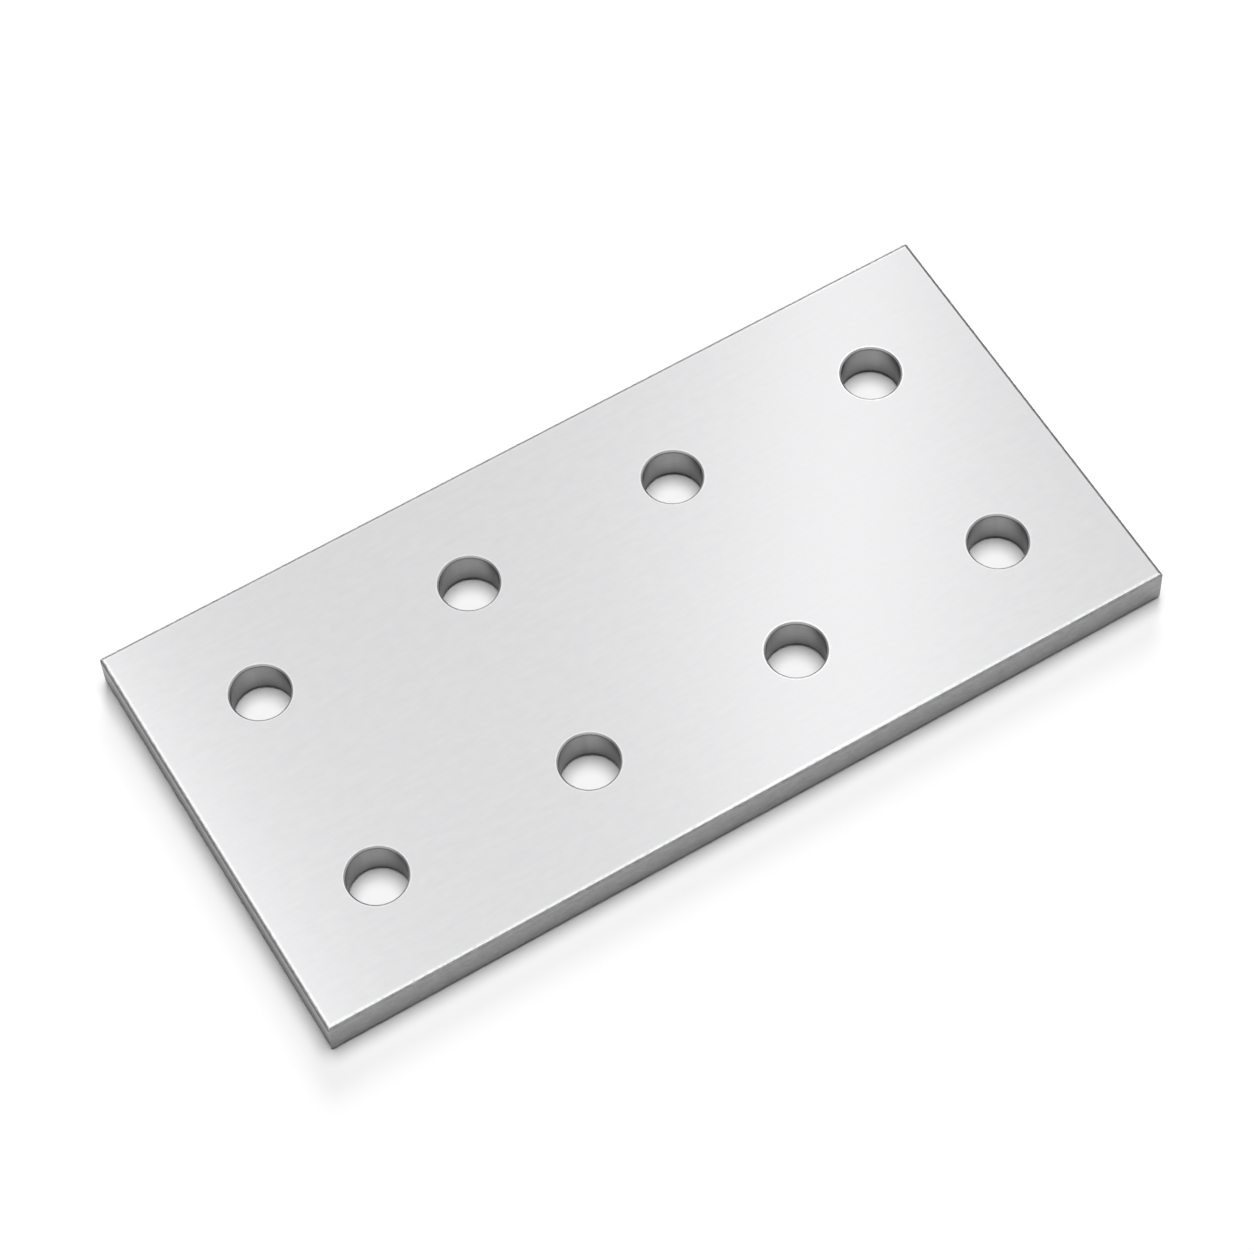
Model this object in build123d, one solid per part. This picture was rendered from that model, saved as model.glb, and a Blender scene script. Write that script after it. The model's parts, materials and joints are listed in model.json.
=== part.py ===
from build123d import *
import os

# Rectangular cover plate for slotted aluminium framing: one flat piece of bar, cut square,
# drilled right through with a grid of clearance holes on the framing's own module, and
# eased all round so that no edge is sharp.
#
# Frame: millimetres, +X along the plate, +Y across it, +Z up through its thickness.
# The origin is the centre of the underside, where the plate seats on the framing.

# ---- driving dimensions -------------------------------------------------------------

thickness = 4.76            # 3/16 in bar

hole_pitch = 25.4           # framing module, the same along the plate and across it
holes_along = 4
holes_across = 2
end_margin = 12.7           # centre of an end hole to the short edge
side_margin = 12.7          # centre of a hole to the long edge beside it

bolt_diameter = 6.35        # 1/4 in bolt
bolt_clearance = 0.18       # close fit, on the diameter
mouth_chamfer = 0.2         # 45 degree deburr at both ends of every hole

edge_round = 0.4            # rounded edges, all along the rim of both faces
corner_round = 0.2          # the four upright corners, only just broken after the cut

# ---- sizes that follow --------------------------------------------------------------

length = (holes_along - 1) * hole_pitch + 2 * end_margin
width = (holes_across - 1) * hole_pitch + 2 * side_margin
hole_diameter = bolt_diameter + bolt_clearance

def bar_section(span: float) -> Sketch:
    """A bar seen end on, seated on the level of the underside: its four edges are rounded."""
    return Pos(0, thickness / 2) * RectangleRounded(span, thickness, edge_round)

def eased_blank() -> Part:
    """The bare plate: bar stock along X, its cut ends rounded to match, its corners broken."""
    stock = extrude(Plane.YZ * bar_section(width), length / 2, both=True)
    cut_ends = extrude(Plane.XZ * bar_section(length), width / 2, both=True)
    broken_corners = extrude(RectangleRounded(length, width, corner_round), thickness)
    return stock & cut_ends & broken_corners

def drill() -> Part:
    """What one hole takes out: the bore, flared at 45 degrees where it meets each face."""
    bore_radius = hole_diameter / 2
    mouth_radius = bore_radius + mouth_chamfer
    half_section = Polyline(
        (0, 0),
        (mouth_radius, 0),
        (bore_radius, mouth_chamfer),
        (bore_radius, thickness - mouth_chamfer),
        (mouth_radius, thickness),
        (0, thickness),
        close=True,
    )
    return revolve(Plane.XZ * make_face(half_section), Axis.Z)

def cover_plate() -> Part:
    """The finished plate: the eased blank with its grid of through holes."""
    grid = GridLocations(hole_pitch, hole_pitch, holes_along, holes_across)
    return eased_blank() - [place * drill() for place in grid]

plate = cover_plate()
plate.label = "cover_plate"

os.makedirs("parts", exist_ok=True)
export_step(plate, "parts/cover_plate.step")
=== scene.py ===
"""Looks of the rectangular cover plate: one brushed aluminium plate with eight drilled holes.

Metres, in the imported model's frame: +X along the plate, +Y across it, +Z up.
"""

import json
import math
from collections import namedtuple

import bpy
from mathutils import Matrix, Vector


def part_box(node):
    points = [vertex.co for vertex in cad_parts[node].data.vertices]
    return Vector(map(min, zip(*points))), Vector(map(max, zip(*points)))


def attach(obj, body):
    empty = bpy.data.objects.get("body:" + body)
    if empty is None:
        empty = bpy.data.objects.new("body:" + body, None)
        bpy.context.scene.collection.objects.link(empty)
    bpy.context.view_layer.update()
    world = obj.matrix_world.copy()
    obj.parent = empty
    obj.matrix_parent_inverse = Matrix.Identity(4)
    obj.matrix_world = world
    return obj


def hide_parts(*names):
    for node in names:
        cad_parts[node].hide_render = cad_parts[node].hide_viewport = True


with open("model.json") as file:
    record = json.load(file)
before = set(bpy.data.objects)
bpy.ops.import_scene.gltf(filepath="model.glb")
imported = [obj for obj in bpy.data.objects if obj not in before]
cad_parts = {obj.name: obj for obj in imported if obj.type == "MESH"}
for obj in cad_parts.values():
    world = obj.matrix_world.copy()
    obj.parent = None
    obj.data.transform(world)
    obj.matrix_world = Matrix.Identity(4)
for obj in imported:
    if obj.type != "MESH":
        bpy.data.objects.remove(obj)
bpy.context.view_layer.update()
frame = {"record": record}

MM = 0.001
MICRON = 0.001 * MM

# ---- sizes: the plate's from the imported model, the small ones as the source has them ----

low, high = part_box("cover_plate")
length = high.x - low.x
width = high.y - low.y
top = high.z
under = low.z

edge_round = 0.4 * MM
corner_round = 0.2 * MM
corner_tightening = 0.9  # share of a corner's round that is gone where the rim's own round ends
mouth_chamfer = 0.2 * MM
mouth_ease = 0.05 * MM  # the chamfer's own two edges, just taken off
mouth_apron = 0.2 * MM  # the narrow ring of quads round each mouth
margin = 0.6 * MM  # from the outline to the grid of square cells that fills each face

patterns = [m for m in frame["record"]["mounts"] if m["kind"] == "bolt_pattern"]
spacings_x = [p["dims"]["spacing_x_mm"] * MM for p in patterns]
spacing_y = patterns[0]["dims"]["spacing_y_mm"] * MM
bore_radius = patterns[0]["dims"]["hole_r_mm"] * MM
pitch = min(spacings_x)
columns = sorted(side * spacing / 2 for spacing in spacings_x for side in (-1, 1))
rows = [side * spacing_y / 2 for side in (-1, 1)]

# ---- how finely the plate is drawn ------------------------------------------------------

CELL_SIDE = 24  # steps along each side of the square round a hole
HOLE_SIDES = 4 * CELL_SIDE
CELL_RINGS = 5  # bands from that square to the ring round the mouth
CELL_CROWDING = 0.8  # under 1, the rings crowd towards the hole
CORNER_STEPS = 8
ROUND_STEPS = 8
EASE_STEPS = 3  # one less than there are numbers in EASE_WORN
WALL_SHARES = (0.03, 0.07, 0.13, 0.25, 0.45, 0.7, 0.9)

# ---- how worn the metal is, and where shade and sheen are painted on it -----------------

# The columns: how worn the upper round is; how far down it that goes; how much painted shade
# the wall gets towards the floor, and from where on it; how much painted shade darkens the round
# below the wear, a painted dark line; and how strong a painted highlight line the wall has at
# its upper end.
SideFinish = namedtuple("SideFinish", "worn reach dusk dusk_from brow bright")
FRONT = SideFinish(1.0, 0.5, 0.35, 0.4, 0.0, 0.07)
RIGHT = SideFinish(0.35, 0.16, 0.5, 0.4, 0.35, 0.0)
BACK = SideFinish(0.55, 0.55, 0.35, 0.4, 0.0, 0.0)
LEFT = SideFinish(1.0, 0.39, 0.95, 0.1, 0.62, 0.2)
SIDES = (FRONT, RIGHT, BACK, LEFT)

WEAR_LOST = 0.7  # share of the wear that is lost by its reach, the rest going in WEAR_FADE
WEAR_FADE = 0.2  # share of the round below the reach over which the wear ends
BROW_FADE = 0.25  # and over which the round's painted dark line comes
BROW_FOOT = 0.05  # how far down the wall the round's painted dark line goes
LOW_SHADE_SPAN = 0.9  # share of the wall over which its painted shade would grow to full
FOOT_LOW_SHADE = 0.67  # the lower round gets at least this share of the wall's painted shade
FOOT_SHADE = 0.9  # and this much painted contact shadow from FOOT_FULL of the way down it
FOOT_FULL = 0.4
NEXT_FINISH = 0.3  # share of a corner from which it is cut like the side after it

EASE_WORN = (0.7, 0.55, 0.3, 0.05)  # at a mouth's edge, and at each step down its first ease
CHAMFER_SHADE = 0.25  # painted shade where the chamfer ends below
BORE_EDGE_SHADE = 0.9  # painted dark line on the eased edge between the chamfer and the bore
MOUTH_END_SHADE = 0.6  # how much painted shade a mouth gets at a hole's two ends
END_SHADE_START, END_SHADE_FULL = 0.6, 0.8  # inward part of the normal where that painted shade starts and is full
END_SHADE_SHARPNESS = 8  # the higher, the shorter the stretch of a hole that its painted end shade takes up

# Share of the way down a bore, how much painted shade it has there (painted dark lines under
# the mouth and at the foot), and how much more painted shade at the hole's two ends.
BORE_RINGS = (
    (0.03, 0.25, 0.95),
    (0.08, 0.05, 0.9),
    (0.35, 0.0, 0.5),
    (0.65, 0.0, 0.35),
    (0.85, 0.08, 0.3),
    (0.92, 0.2, 0.3),
    (0.96, 0.7, 0.3),
)


# ---- the skin: vertices with their own normals, faces with their place on the map -------


class Skin:
    """Collects a mesh. Each vertex has its true normal, how worn the metal is (with a painted
    sheen line on some walls), and how much painted shade it has.
    """

    def __init__(self):
        self.points, self.normals, self.worn, self.dull = [], [], [], []
        self.faces, self.kinds, self.maps = [], [], []

    def vertex(self, point, normal, worn=0.0, dull=0.0):
        self.points.append(point)
        self.normals.append(normal)
        self.worn.append(worn)
        self.dull.append(dull)
        return len(self.points) - 1

    def face(self, corners, kind, places):
        """Adds a face, without the corners that are there twice."""
        keep = [i for i, c in enumerate(corners) if corners.index(c) == i]
        self.faces.append([corners[i] for i in keep])
        self.maps.append([places[i] for i in keep])
        self.kinds.append(kind)


skin = Skin()
FACE, EDGE, END, MOUTH, BORE = range(5)

# The map's U runs across the brushing and V along it, on every side of the plate. It is laid
# out in metres first, in four columns, and then fitted to the unit square: the two faces, the
# front and back walls, the right and left walls, and the bores with their mouths.
GAP = 0.8 * MM
MOUTH_ROOM = MM  # kept at each end of a bore for its mouth
inner_x = length / 2 - margin
inner_y = width / 2 - margin
wall_width = 2 * (margin - edge_round) + math.pi * edge_round
wall_width += top - under - 2 * edge_round
bore_width = top - under + 2 * MOUTH_ROOM
map_columns = [0.0, width + GAP]
map_columns.append(map_columns[-1] + wall_width + GAP)
map_columns.append(map_columns[-1] + wall_width + GAP)
map_wide = map_columns[-1] + bore_width + 2 * GAP
map_tall = 2 * (length + GAP) + 3 * GAP


def on_map(u, v):
    return ((u + GAP) / map_wide, (v + GAP) / map_tall)


def face_place(point, upper):
    u = point[1] + width / 2
    v = point[0] + length / 2
    return on_map(u, v) if upper else on_map(u, v + length + GAP)


def between(value, low, high):
    """How far value has come from low to high, from 0 to 1."""
    return max(0.0, min(1.0, (value - low) / (high - low)))


def grid_key(x, y):
    """The same for two points that are meant to be one, to a tenth of a micron."""
    return (round(x * 1e7), round(y * 1e7))


# ---- rings round the rim ----------------------------------------------------------------


def spread(cuts, steps):
    """Every station from the first cut to the last, with the same number of steps between."""
    found = [cuts[0]]
    for a, b in zip(cuts, cuts[1:]):
        found += [a + (b - a) * (i + 1) / steps for i in range(steps)]
    return found


cuts_x = [-inner_x] + [x + pitch / 2 for x in columns[:-1]] + [inner_x]
cuts_y = [-inner_y] + [y + pitch / 2 for y in rows[:-1]] + [inner_y]
stations_x = spread(cuts_x, CELL_SIDE)
stations_y = spread(cuts_y, CELL_SIDE)

# side: 0 to 3 for front, right, back and left. spot: where along its side, or None in a corner.
# corner: the signs of the corner's x and y, or None. turn: the way out, as an angle from +X.
# far: the distance along its side on the map.
Station = namedtuple("Station", "side spot corner turn far")


def rim_stations():
    """The stations round the plate, anticlockwise from its front left corner."""
    corners = (-1, -1), (1, -1), (1, 1), (-1, 1)
    found = []
    for side in range(4):
        base = (side - 1) * math.pi / 2
        whole = (length, width)[side % 2]
        spots = (stations_x, stations_y)[side % 2]
        after = corners[(side + 1) % 4]
        found.append(Station(side, None, corners[side], base, corner_round))
        for spot in spots[1:-1] if side < 2 else spots[-2:0:-1]:
            far = whole / 2 + (spot if side < 2 else -spot)
            found.append(Station(side, spot, None, base, far))
        for i in range(CORNER_STEPS):
            turn = math.pi / 2 * i / CORNER_STEPS
            far = whole + corner_round * (turn - 1)
            found.append(Station(side, None, after, base + turn, far))
    return found


stations = rim_stations()


def rim_point(station, inset):
    """(x, y) of a station on the ring that lies inset from the outline, and its way out."""
    way = (math.cos(station.turn), math.sin(station.turn))
    if station.corner is None:
        if station.side % 2:
            return ((length / 2 - inset) * way[0], station.spot), way
        return (station.spot, (width / 2 - inset) * way[1]), way
    bend = 0.0
    if inset != margin:
        bend = corner_round * (1 - corner_tightening * inset / edge_round)
    x = station.corner[0] * (length / 2 - inset - bend) + bend * way[0]
    y = station.corner[1] * (width / 2 - inset - bend) + bend * way[1]
    return (x, y), way


# One ring of the rim: its inset and height, the outward and upward parts of its normal, which
# part of the rim it is on and its share of that part, and the distance gone on the map.
RimStep = namedtuple("RimStep", "inset z outward upward part share gone")


def rim_profile():
    """The rim's rings from the upper face to the lower one: the upper round, the wall and the
    lower round, between two flats."""
    flat = margin - edge_round
    rise = top - edge_round
    drop = under + edge_round
    bow = edge_round * math.pi / 2
    found = [RimStep(margin, top, 0.0, 1.0, "flat", 0.0, 0.0)]
    for i in range(ROUND_STEPS + 1):
        share = i / ROUND_STEPS
        turn = math.pi / 2 * (1 - share)
        c, s = math.cos(turn), math.sin(turn)
        gone = flat + bow * share
        inset = edge_round * (1 - c)
        found.append(RimStep(inset, rise + edge_round * s, c, s, "brow", share, gone))
    for share in WALL_SHARES:
        z = rise + (drop - rise) * share
        found.append(RimStep(0.0, z, 1.0, 0.0, "wall", share, gone + rise - z))
    gone += rise - drop
    for i in range(ROUND_STEPS + 1):
        share = i / ROUND_STEPS
        turn = -math.pi / 2 * share
        c, s = math.cos(turn), math.sin(turn)
        far = gone + bow * share
        inset = edge_round * (1 - c)
        found.append(RimStep(inset, drop + edge_round * s, c, s, "foot", share, far))
    found.append(RimStep(margin, under, 0.0, -1.0, "flat", 1.0, far + flat))
    return found


def corner_share(station):
    """How far a station has come round the corner after its side, from 0 to 1."""
    return between(station.turn, (station.side - 1) * math.pi / 2, station.side * math.pi / 2)


def finish(station, step):
    """How worn the rim is, and how much painted shade it has. Handling has polished the upper
    edges, the front and the left ones the most. The walls have painted shade towards the floor,
    the round a painted dark line below its wear, the lower round a painted contact shadow, and
    the wall a painted highlight line just below the round."""
    side, share = station.side, step.share
    later = corner_share(station)
    here, there = SIDES[side], SIDES[(side + 1) % 4]
    look = SideFinish(*(p + (q - p) * later for p, q in zip(here, there)))
    if step.part == "brow":
        lost = between(share, look.reach / 2, look.reach) * WEAR_LOST
        faded = between(share, look.reach, look.reach + WEAR_FADE) * (1 - WEAR_LOST)
        # painted shade: the round goes dark below its wear, a painted dark line
        dull = look.brow * between(share, look.reach, look.reach + BROW_FADE)
        return look.worn * (1 - lost - faded), dull
    if step.part == "wall":
        # painted highlight: a thin lighter line on the wall just below the round
        glint = look.bright if share == WALL_SHARES[1] else 0.0
        # painted shade: the dark line runs a little way down the wall, which darkens towards the
        # floor
        under_brow = look.brow * (1 - between(share, 0.0, BROW_FOOT))
        dusk = look.dusk * between(share, look.dusk_from, look.dusk_from + LOW_SHADE_SPAN)
        return glint, max(under_brow, dusk)
    if step.part == "foot":
        # painted contact shadow on the lower round
        return 0.0, max(look.dusk * FOOT_LOW_SHADE, FOOT_SHADE * between(share, 0.0, FOOT_FULL))
    return 0.0, 0.0


profile = rim_profile()
# Of each side: its column on the map, and where its strip starts there.
side_column = {0: (1, 0.0), 2: (1, length + GAP), 1: (2, 0.0), 3: (2, width + GAP)}


def rim_place(station, step):
    column, start = side_column[station.side]
    return on_map(map_columns[column] + step.gone, start + station.far)


# ---- one face: square cells of quads, each round its hole -------------------------------


def square_walk(x0, x1, y0, y1):
    """The corners and steps round a cell, anticlockwise from its lower right corner."""
    xs = [x0 + (x1 - x0) * i / CELL_SIDE for i in range(CELL_SIDE + 1)]
    ys = [y0 + (y1 - y0) * i / CELL_SIDE for i in range(CELL_SIDE + 1)]
    walk = [(x1, y) for y in ys[:-1]] + [(x, y1) for x in xs[:0:-1]]
    return walk + [(x0, y) for y in ys[:0:-1]] + [(x, y0) for x in xs[:-1]]


# One ring of a mouth: its radius and height from the face, the inward and upward parts of its
# normal, how worn it is and how much painted shade it has, and what the band that ends at it
# is made as.
MouthStep = namedtuple("MouthStep", "radius drop inward upward worn dull kind")


def mouth_profile():
    """A mouth's rings from the face down: the chamfer between its two eased edges."""
    ease = mouth_ease
    cut = ease * math.tan(math.pi / 8)
    mouth = bore_radius + mouth_chamfer
    foot = mouth_chamfer + cut
    steps = []
    for i in range(EASE_STEPS + 1):
        turn = math.pi / 4 * i / EASE_STEPS
        c, s = math.cos(turn), math.sin(turn)
        radius = mouth + cut - ease * s
        steps.append(MouthStep(radius, -ease * (1 - c), s, c, EASE_WORN[i], 0.0, MOUTH))
    for i in range(EASE_STEPS + 1):
        turn = math.pi / 4 * (1 + i / EASE_STEPS)
        c, s = math.cos(turn), math.sin(turn)
        # painted shade where the chamfer ends, and a painted dark line on the edge into the bore
        dull, kind = (BORE_EDGE_SHADE, BORE) if i else (CHAMFER_SHADE, MOUTH)
        radius = bore_radius + ease * (1 - s)
        steps.append(MouthStep(radius, ease * c - foot, s, c, 0.0, dull, kind))
    return steps


mouth_steps = mouth_profile()


def hole_turn(i):
    """The bearing of a ring's corner, so that a ring and the walk round its cell start alike."""
    return 2 * math.pi * i / HOLE_SIDES - math.pi / 4


def hole_ring(cx, cy, radius, z, inward, upward, worn=0.0, dull=0.0, ends=0.0):
    """A ring of vertices. Each hole has painted shade at its two ends along the plate, so a
    ring is darker there by the share in ends."""
    ring = []
    for i in range(HOLE_SIDES):
        c, s = math.cos(hole_turn(i)), math.sin(hole_turn(i))
        point = (cx + radius * c, cy + radius * s, z)
        ring_shade = min(1.0, dull + ends * c**END_SHADE_SHARPNESS)
        ring.append(skin.vertex(point, (-inward * c, -inward * s, upward), worn, ring_shade))
    return ring


def band(outer, inner, kind, place):
    """Quads between two closed rings. place(ring, step) is a corner's place on the map."""
    n = len(outer)
    for i in range(n):
        j = (i + 1) % n
        corners = [outer[i], outer[j], inner[j], inner[i]]
        places = [place(0, i), place(0, i + 1), place(1, i + 1), place(1, i)]
        skin.face(corners, kind, places)


def flat_band(outer, inner, upper):
    """A band that lies in a face, with its places on the map as they are on the plate."""

    def place(which, i):
        ring = (outer, inner)[which]
        return face_place(skin.points[ring[i % HOLE_SIDES]], upper)

    band(outer, inner, FACE, place)


def round_band(outer, inner, kind, start, across):
    """A band inside a hole, unrolled on the map from start, its rings at the two distances in
    across."""

    def place(which, i):
        turn = 2 * math.pi * i / HOLE_SIDES
        return on_map(map_columns[3] + across[which], start + turn * bore_radius)

    band(outer, inner, kind, place)


def cell_flat(walk, cx, cy, upper, shared):
    """The flat of a cell round its hole. Cells share the vertices where they meet. Returns the
    ring at the mouth's edge."""
    z = top if upper else under
    up = 1.0 if upper else -1.0
    border = []
    for x, y in walk:
        if grid_key(x, y) not in shared:
            shared[grid_key(x, y)] = skin.vertex((x, y, z), (0, 0, up))
        border.append(shared[grid_key(x, y)])
    edge = mouth_steps[0]
    near = edge.radius + mouth_apron
    rings = [border]
    for k in range(1, CELL_RINGS):
        mix = (k / CELL_RINGS) ** CELL_CROWDING
        ring = []
        for i, (x, y) in enumerate(walk):
            px = x * (1 - mix) + (cx + near * math.cos(hole_turn(i))) * mix
            py = y * (1 - mix) + (cy + near * math.sin(hole_turn(i))) * mix
            ring.append(skin.vertex((px, py, z), (0, 0, up)))
        rings.append(ring)
    rings.append(hole_ring(cx, cy, near, z, 0.0, up))
    rings.append(hole_ring(cx, cy, edge.radius, z, 0.0, up, worn=edge.worn))
    for outer, inner in zip(rings, rings[1:]):
        flat_band(outer, inner, upper)
    return rings[-1]


def cell_mouth(ring, cx, cy, upper, start):
    """A mouth from the ring at its edge down to the bore. Returns its last ring and where that is
    across the map. The lower mouths have no wear and are painted fully dark, a painted contact
    shadow at the foot of each bore."""
    z = top if upper else under
    up = 1.0 if upper else -1.0
    gone = 0.0
    here = MOUTH_ROOM if upper else bore_width - MOUTH_ROOM
    for last, step in zip(mouth_steps, mouth_steps[1:]):
        # the lower mouths: no wear, painted shade in full
        worn, dull = (step.worn, step.dull) if upper else (0.0, 1.0)
        # painted shade at the two ends of each hole along the plate
        ends = MOUTH_END_SHADE * between(step.inward, END_SHADE_START, END_SHADE_FULL)
        height, upward = z + step.drop * up, step.upward * up
        inner = hole_ring(cx, cy, step.radius, height, step.inward, upward, worn, dull, ends)
        gone += math.hypot(step.radius - last.radius, step.drop - last.drop)
        there = MOUTH_ROOM + gone if upper else bore_width - MOUTH_ROOM - gone
        round_band(ring, inner, step.kind, start, (here, there))
        ring, here = inner, there
    return ring, here


def map_start(number):
    """Where the strip of the hole with this number starts on the map."""
    return number * (2 * math.pi * bore_radius + GAP)


def face_cells(upper):
    """One face with its mouths. Returns the vertices of the grid of cells by their places, and
    of each mouth the last ring and where that is across the map."""
    shared, mouths = {}, []
    for row, cy in enumerate(rows):
        for column, cx in enumerate(columns):
            walk = square_walk(cuts_x[column], cuts_x[column + 1], cuts_y[row], cuts_y[row + 1])
            ring = cell_flat(walk, cx, cy, upper, shared)
            mouths.append(cell_mouth(ring, cx, cy, upper, map_start(len(mouths))))
    return shared, mouths


upper_shared, upper_mouths = face_cells(True)
lower_shared, lower_mouths = face_cells(False)

# ---- the rim, from the upper face's grid to the lower one's -----------------------------

rings = []
for number, step in enumerate(profile):
    ring = []
    for station in stations:
        (x, y), way = rim_point(station, step.inset)
        if step.part == "flat":
            shared = lower_shared if number else upper_shared
            ring.append(shared[grid_key(x, y)])
        else:
            normal = (way[0] * step.outward, way[1] * step.outward, step.upward)
            ring.append(skin.vertex((x, y, step.z), normal, *finish(station, step)))
    rings.append(ring)
for number in range(len(rings) - 1):
    a, b = rings[number], rings[number + 1]
    u, v = profile[number], profile[number + 1]
    for i, here in enumerate(stations):
        j = (i + 1) % len(stations)
        there = stations[j]
        corners = [a[i], b[i], b[j], a[j]]
        if "flat" in (u.part, v.part):
            kind = FACE
            places = [face_place(skin.points[c], number == 0) for c in corners]
        else:
            kind = (EDGE, END)[(here.side + (corner_share(here) > NEXT_FINISH)) % 2]
            if there.side != here.side:
                whole = (length, width)[here.side % 2]
                far = whole + corner_round * (math.pi / 2 - 1)
                there = Station(here.side, None, there.corner, there.turn, far)
            places = [rim_place(*pair) for pair in ((here, u), (here, v), (there, v), (there, u))]
        skin.face(corners, kind, places)

# ---- the bores, from mouth to mouth -----------------------------------------------------

centres = [(cx, cy) for cy in rows for cx in columns]
for number, (cx, cy) in enumerate(centres):
    (ring, first), (last_ring, last) = upper_mouths[number], lower_mouths[number]
    above = skin.points[ring[0]][2]
    below = skin.points[last_ring[0]][2]
    start = map_start(number)
    here = first
    # painted shade down each bore, as BORE_RINGS lists it
    for share, dull, ends in BORE_RINGS:
        z = above + (below - above) * share
        inner = hole_ring(cx, cy, bore_radius, z, 1.0, 0.0, dull=dull, ends=ends)
        there = first + (last - first) * share
        round_band(ring, inner, BORE, start, (here, there))
        ring, here = inner, there
    round_band(ring, last_ring, BORE, start, (here, last))

# ---- the mesh ---------------------------------------------------------------------------

# Faces of the lower side were walked the same way round as the upper ones, so each face is
# turned to agree with its vertices' normals.
faces, maps = [], []
for corners, places in zip(skin.faces, skin.maps):
    points = [Vector(skin.points[c]) for c in corners]
    normal = Vector((0, 0, 0))
    for p, q in zip(points, points[1:] + points[:1]):
        normal += (p - points[0]).cross(q - points[0])
    outward = sum((Vector(skin.normals[c]) for c in corners), Vector((0, 0, 0)))
    if normal.dot(outward) < 0:
        corners, places = corners[::-1], places[::-1]
    faces.append(corners)
    maps.append(places)

mesh = bpy.data.meshes.new("cover_plate_finish")
mesh.from_pydata(skin.points, [], faces)
mesh.update()
layer = mesh.uv_layers.new(name="Brushing")
layer.uv.foreach_set("vector", [c for places in maps for place in places for c in place])
# wear with painted sheen, and painted shade, kept on the vertices
for name, values in (("worn", skin.worn), ("dull", skin.dull)):
    mesh.attributes.new(name, "FLOAT", "POINT").data.foreach_set("value", values)
mesh.polygons.foreach_set("material_index", skin.kinds)
mesh.polygons.foreach_set("use_smooth", [True] * len(mesh.polygons))
mesh.normals_split_custom_set_from_vertices([Vector(n).normalized() for n in skin.normals])

plate = bpy.data.objects.new("plate_finish", mesh)
bpy.context.collection.objects.link(plate)

# ---- materials --------------------------------------------------------------------------

SEED_STEP = (17.3, 5.1, 1.0)  # how far a seed of 1 moves the noise
NOISE_DETAIL = 2.0
NOISE_ROUGHNESS = 0.55


def grey(level):
    return (level, level, level)


class Nodes:
    """Short names for building the nodes of a material or of the world."""

    def __init__(self, owner):
        owner.use_nodes = True
        self.tree = owner.node_tree
        self.tree.nodes.clear()

    def node(self, kind, **settings):
        made = self.tree.nodes.new(kind)
        for name, value in settings.items():
            setattr(made, name, value)
        return made

    def put(self, value, socket):
        """Gives a socket a number or a colour, or links it to what another node gives."""
        if isinstance(value, bpy.types.NodeSocket):
            self.tree.links.new(value, socket)
        else:
            socket.default_value = (*value, 1) if isinstance(value, tuple) else value

    def math(self, operation, *values, clamp=False):
        made = self.node("ShaderNodeMath", operation=operation, use_clamp=clamp)
        for value, socket in zip(values, made.inputs):
            self.put(value, socket)
        return made.outputs[0]

    def stretch(self, value, low, high, to_low=0.0, to_high=1.0, **settings):
        """value as it goes from low to high, made to go from to_low to to_high."""
        made = self.node("ShaderNodeMapRange", **settings)
        self.put(value, made.inputs["Value"])
        self.put(low, made.inputs["From Min"])
        self.put(high, made.inputs["From Max"])
        self.put(to_low, made.inputs["To Min"])
        self.put(to_high, made.inputs["To Max"])
        return made.outputs[0]

    def colour(self, factor, a, b):
        """The colour a where factor is 0 and b where it is 1."""
        made = self.node("ShaderNodeMix", data_type="RGBA")
        self.put(factor, made.inputs["Factor"])
        for name, value in (("A", a), ("B", b)):
            self.put(value, next(s for s in made.inputs if s.name == name and s.type == "RGBA"))
        return next(s for s in made.outputs if s.type == "RGBA")

    def streaks(self, coords, across, along, seed):
        """Noise drawn out along the brushing: streaks to the millimetre, across and along."""
        scaled = self.node("ShaderNodeVectorMath", operation="MULTIPLY")
        scaled.inputs[1].default_value = (across * map_wide / MM, along * map_tall / MM, 1)
        self.put(coords, scaled.inputs[0])
        moved = self.node("ShaderNodeVectorMath", operation="ADD")
        moved.inputs[1].default_value = tuple(seed * step for step in SEED_STEP)
        self.put(scaled.outputs[0], moved.inputs[0])
        noise = self.node("ShaderNodeTexNoise", noise_dimensions="2D")
        noise.inputs["Scale"].default_value = 1.0
        noise.inputs["Detail"].default_value = NOISE_DETAIL
        noise.inputs["Roughness"].default_value = NOISE_ROUGHNESS
        self.put(moved.outputs[0], noise.inputs["Vector"])
        return noise.outputs["Fac"]


# The polished colour of wear, also used for the painted sheen line.
POLISHED_COLOUR = (0.92, 0.92, 0.925)
POLISHED_ROUGHNESS = 0.18
# Near black that the painted shade mixes the colour towards.
PAINTED_SHADE_COLOUR = grey(0.07)
NOISE_RANGE = (0.3, 0.7)  # what most of the noise lies between
NOISE_MIDDLE = 0.5
PATCHES = (3.0, 1.6)  # of wear, to the millimetre across and along the brushing
PATCH_SEED = 9.0
PATCH_GAIN = 4.0  # patches show in full where the metal is worn by a quarter or more


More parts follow.
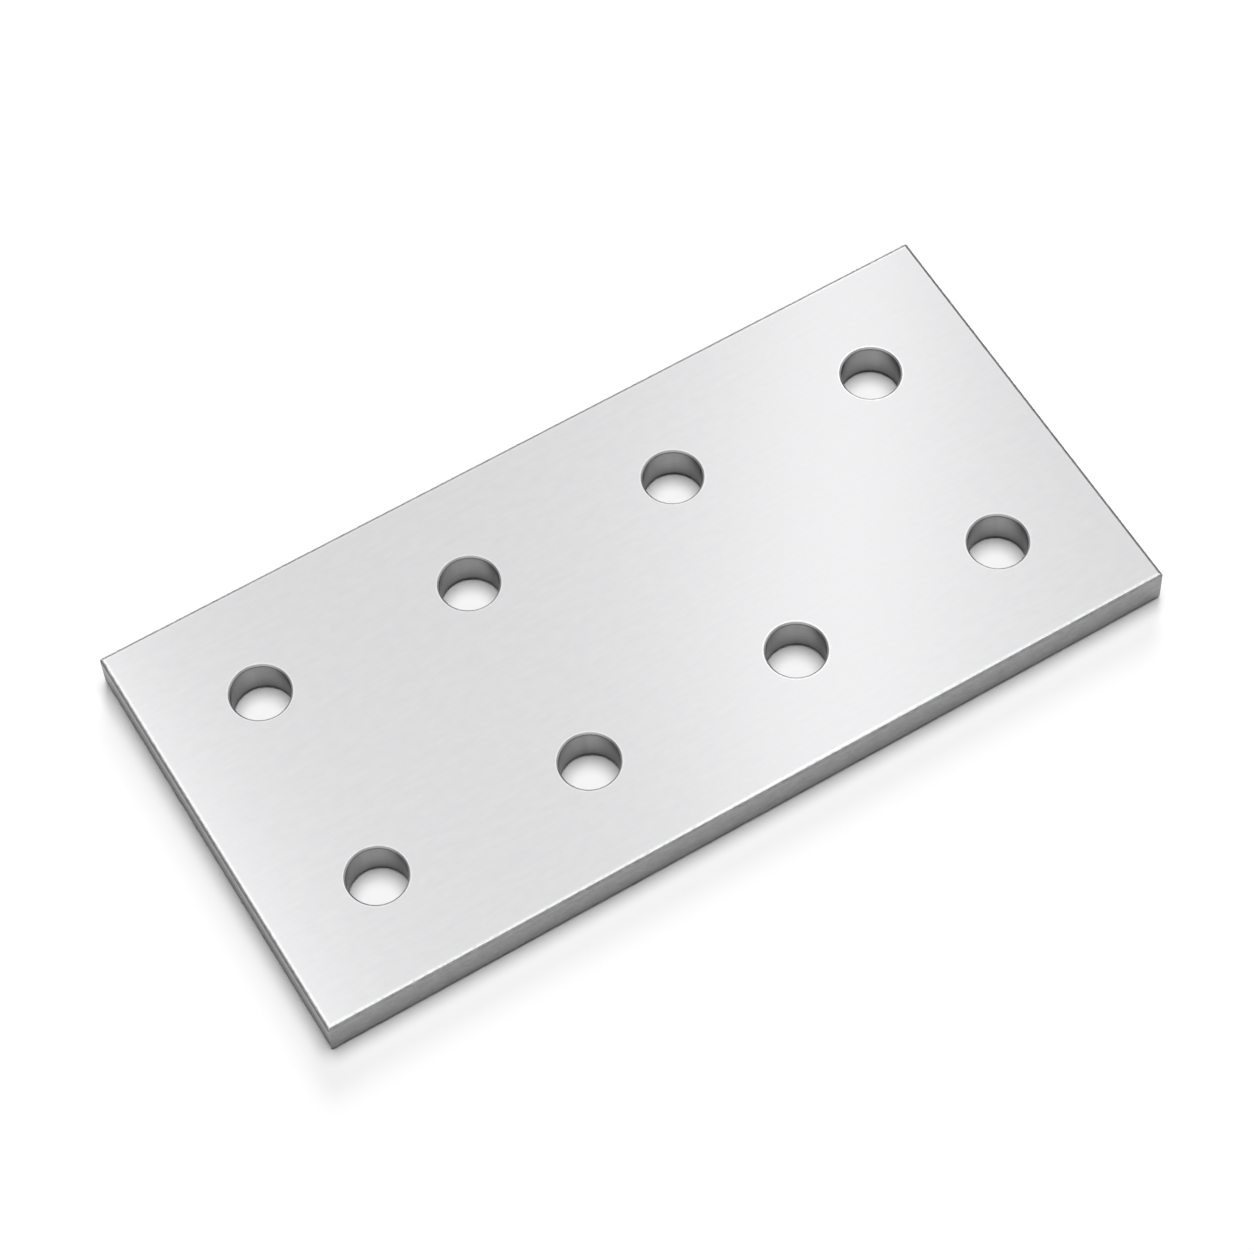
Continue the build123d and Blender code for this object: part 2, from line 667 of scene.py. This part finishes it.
def metal(name, dark, light, rough, rough_spread, bump, marks, anisotropy, glancing=1.0):
    """Bare metal with streaks. marks are (across, along, share) of each layer, to the mm, and
    glancing is how much it mirrors where it is seen almost along its surface."""
    made = bpy.data.materials.new(name)
    n = Nodes(made)
    coords = n.node("ShaderNodeUVMap", uv_map="Brushing").outputs["UV"]
    total = None
    for seed, (across, along, share) in enumerate(marks):
        layer = n.math("MULTIPLY", n.streaks(coords, across, along, seed + 1.0), share)
        total = layer if total is None else n.math("ADD", total, layer)
    streak = n.stretch(total, *NOISE_RANGE)
    # Wear, with a painted sheen line on some walls: polished colour and roughness mixed in.
    worn = n.node("ShaderNodeAttribute", attribute_name="worn").outputs["Fac"]
    patch = n.math("SUBTRACT", n.streaks(coords, *PATCHES, PATCH_SEED), NOISE_MIDDLE)
    patch = n.math("MULTIPLY", patch, n.math("MULTIPLY", worn, PATCH_GAIN, clamp=True))
    worn = n.math("ADD", worn, patch, clamp=True)
    # Painted shade: the colour mixed towards near black.
    dull = n.node("ShaderNodeAttribute", attribute_name="dull").outputs["Fac"]
    colour = n.colour(dull, n.colour(streak, dark, light), PAINTED_SHADE_COLOUR)
    uneven = n.stretch(streak, 0.0, 1.0, rough - rough_spread, rough + rough_spread)
    tangent = n.node("ShaderNodeTangent", direction_type="UV_MAP", uv_map="Brushing")
    raised = n.node("ShaderNodeBump")
    n.put(1.0, raised.inputs["Strength"])
    n.put(bump, raised.inputs["Distance"])
    n.put(total, raised.inputs["Height"])

    shader = n.node("ShaderNodeBsdfPrincipled")
    n.put(1.0, shader.inputs["Metallic"])
    n.put(anisotropy, shader.inputs["Anisotropic"])
    n.put(grey(glancing), shader.inputs["Specular Tint"])
    n.put(n.colour(worn, colour, POLISHED_COLOUR), shader.inputs["Base Color"])
    n.put(n.stretch(worn, 0.0, 1.0, uneven, POLISHED_ROUGHNESS), shader.inputs["Roughness"])
    n.put(tangent.outputs[0], shader.inputs["Tangent"])
    n.put(raised.outputs[0], shader.inputs["Normal"])
    n.put(shader.outputs[0], n.node("ShaderNodeOutputMaterial").inputs["Surface"])
    return made


# In the order of FACE, EDGE, END, MOUTH and BORE.
METALS = (
    dict(
        name="brushed_face",
        dark=(0.772, 0.773, 0.784),
        light=(0.828, 0.828, 0.838),
        rough=0.302,
        rough_spread=0.02,
        bump=0.9 * MICRON,
        marks=((4.0, 0.35, 0.15), (1.8, 0.3, 0.3), (0.8, 0.2, 0.2), (0.7, 0.6, 0.35)),
        anisotropy=0.75,
    ),
    dict(
        name="bar_edge",
        dark=grey(0.24),
        light=grey(0.36),
        rough=0.4,
        rough_spread=0.06,
        bump=3 * MICRON,
        marks=((6.0, 0.3, 0.2), (1.0, 0.7, 0.45), (3.2, 2.2, 0.35)),
        anisotropy=0.5,
    ),
    dict(
        name="sawn_end",
        dark=grey(0.26),
        light=grey(0.35),
        rough=0.42,
        rough_spread=0.06,
        bump=3 * MICRON,
        marks=((6.0, 0.3, 0.3), (1.0, 0.7, 0.35), (3.2, 2.2, 0.35)),
        anisotropy=0.5,
    ),
    dict(
        name="turned_mouth",
        dark=grey(0.6),
        light=grey(0.68),
        rough=0.5,
        rough_spread=0.05,
        bump=2 * MICRON,
        marks=((7.0, 0.3, 0.6), (2.0, 1.0, 0.4)),
        anisotropy=0.0,
    ),
    dict(
        name="drilled_bore",
        dark=grey(0.255),
        light=grey(0.33),
        rough=0.2,
        rough_spread=0.04,
        bump=3 * MICRON,
        marks=((6.0, 0.3, 0.35), (0.04, 0.6, 0.65)),
        anisotropy=0.5,
        glancing=0.68,
    ),
)
for settings in METALS:
    mesh.materials.append(metal(**settings))

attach(plate, "root")
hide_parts("cover_plate")

# ---- floor ------------------------------------------------------------------------------

FLOOR_REACH = 20.0
FLOOR_GAP = 0.03 * MM
PAPER = grey(0.97)

ground = under - FLOOR_GAP
floor_corners = [
    (x * FLOOR_REACH, y * FLOOR_REACH, ground) for x, y in ((-1, -1), (1, -1), (1, 1), (-1, 1))
]
floor_mesh = bpy.data.meshes.new("floor")
floor_mesh.from_pydata(floor_corners, [], [(0, 1, 2, 3)])
floor = bpy.data.objects.new("floor", floor_mesh)
bpy.context.collection.objects.link(floor)
white_paper = bpy.data.materials.new("white_paper")
paper = Nodes(white_paper)
matt = paper.node("ShaderNodeBsdfDiffuse")
paper.put(PAPER, matt.inputs["Color"])
paper.put(matt.outputs[0], paper.node("ShaderNodeOutputMaterial").inputs["Surface"])
floor_mesh.materials.append(white_paper)

# ---- the room ---------------------------------------------------------------------------

# A white wall at eye level, dim above it apart from three tall windows, and a wide bright
# ceiling. It is what the camera and the metal see. The lamps below light what is matt.
WALL_LEVELS = ((0.0, 1.0), (0.13, 1.0), (0.22, 0.2), (0.6, 0.2), (0.76, 0.93), (1.0, 1.04))
WINDOW_LEVEL = 0.8
# Each window: its bearing from +X, and how far to each side it is full and has gone, in degrees.
WINDOWS = ((-25, 20, 35), (118, 20, 32), (-135, 37, 51))

world = bpy.data.worlds.new("studio")
bpy.context.scene.world = world
sky = Nodes(world)
direction = sky.node("ShaderNodeTexCoord").outputs["Generated"]
parts = sky.node("ShaderNodeSeparateXYZ")
sky.put(direction, parts.inputs[0])
x, y, z = (parts.outputs[axis] for axis in "XYZ")

height = sky.node("ShaderNodeValToRGB")
sky.put(z, height.inputs["Fac"])
ramp = height.color_ramp
ramp.interpolation = "EASE"
ramp.elements[0].position, ramp.elements[1].position = WALL_LEVELS[0][0], WALL_LEVELS[-1][0]
for position, _ in WALL_LEVELS[1:-1]:
    ramp.elements.new(position)
for element, (position, level) in zip(ramp.elements, WALL_LEVELS):
    element.position = position
    element.color = (*grey(level), 1)

seen_level = height.outputs["Color"]
horizontal = sky.math("SQRT", sky.math("SUBTRACT", 1.0, sky.math("MULTIPLY", z, z)))
for bearing, full, gone in WINDOWS:
    along_x = sky.math("MULTIPLY", x, math.cos(math.radians(bearing)))
    along_y = sky.math("MULTIPLY", y, math.sin(math.radians(bearing)))
    toward = sky.math("DIVIDE", sky.math("ADD", along_x, along_y), horizontal)
    side, middle = math.cos(math.radians(gone)), math.cos(math.radians(full))
    smooth = dict(interpolation_type="SMOOTHSTEP")
    window = sky.stretch(toward, side, middle, 0.0, WINDOW_LEVEL, **smooth)
    seen_level = sky.math("MAXIMUM", seen_level, window)

path = sky.node("ShaderNodeLightPath")
seen = sky.math("MAXIMUM", path.outputs["Is Camera Ray"], path.outputs["Is Glossy Ray"])
seen = sky.math("MAXIMUM", seen, path.outputs["Is Transmission Ray"])
background = sky.node("ShaderNodeBackground")
sky.put(seen_level, background.inputs["Color"])
sky.put(seen, background.inputs["Strength"])
sky.put(background.outputs[0], sky.node("ShaderNodeOutputWorld").inputs["Surface"])

# ---- lamps ------------------------------------------------------------------------------

# The key is like a soft box overhead, leaning to the far right corner, and the fill comes low
# over that corner: where each comes from, its strength, and how wide it is in degrees.
SUNS = (
    ("key", (0.08, 0.08, 0.994), 2.8, 40),
    ("fill", (0.45, 0.69, 0.57), 0.95, 25),
)
# The two strips are only seen in the metal: place, what each is aimed at, which way its long
# side lies, and its strength.
STRIPS = (
    ("right_strip", (0.084, 0.088, 0.176), (0.03, 0.0, 0.0), (0.54, 0.83, -0.15), 0.008),
    ("left_strip", (-0.037, 0.083, 0.181), (-0.058, -0.008, 0.0), (0.0, 1.0, 0.0), 0.006),
)
STRIP_LONG = 0.16
STRIP_WIDE = 0.006


def lamp(name, kind, place, target, along=(1, 0, 0), **settings):
    """A lamp at place with its -Z to target, and its own X as near as can be to along."""
    data = bpy.data.lights.new(name, kind)
    for key, value in settings.items():
        setattr(data, key, value)
    made = bpy.data.objects.new(name, data)
    bpy.context.collection.objects.link(made)
    back = (Vector(place) - Vector(target)).normalized()
    own_x = Vector(along) - back * back.dot(Vector(along))
    own_x.normalize()
    axes = Matrix((own_x, back.cross(own_x), back)).transposed().to_4x4()
    made.matrix_world = Matrix.Translation(place) @ axes
    made.visible_camera = False
    return made


for name, place, energy, angle in SUNS:
    sun = lamp(name, "SUN", place, (0, 0, 0), energy=energy, angle=math.radians(angle))
    sun.visible_glossy = False

for name, place, aimed, along, energy in STRIPS:
    size = dict(shape="RECTANGLE", size=STRIP_LONG, size_y=STRIP_WIDE)
    strip = lamp(name, "AREA", place, aimed, along, energy=energy, **size)
    strip.visible_diffuse = False

# ---- camera -----------------------------------------------------------------------------

AZIMUTH = math.radians(-27.45)
ELEVATION = math.radians(59.91)
ROLL = math.radians(-3.77)
DISTANCE = 0.4506
TARGET = Vector((-0.0005, 0.0003, 0.0025))

ahead = Vector(
    (
        -math.sin(AZIMUTH) * math.cos(ELEVATION),
        math.cos(AZIMUTH) * math.cos(ELEVATION),
        -math.sin(ELEVATION),
    )
)
right = ahead.cross(Vector((0, 0, 1))).normalized()
upright = right.cross(ahead)
rolled_right = math.cos(ROLL) * right + math.sin(ROLL) * upright
rolled_up = math.cos(ROLL) * upright - math.sin(ROLL) * right
lens = bpy.data.cameras.new("camera")
lens.sensor_width = 36.0
lens.lens = 121.1
lens.clip_start = 0.01
lens.clip_end = 100.0
camera = bpy.data.objects.new("camera", lens)
bpy.context.collection.objects.link(camera)
axes = Matrix((rolled_right, rolled_up, -ahead)).transposed().to_4x4()
camera.matrix_world = Matrix.Translation(TARGET - ahead * DISTANCE) @ axes
bpy.context.scene.camera = camera
bpy.context.scene.view_settings.view_transform = "Standard"
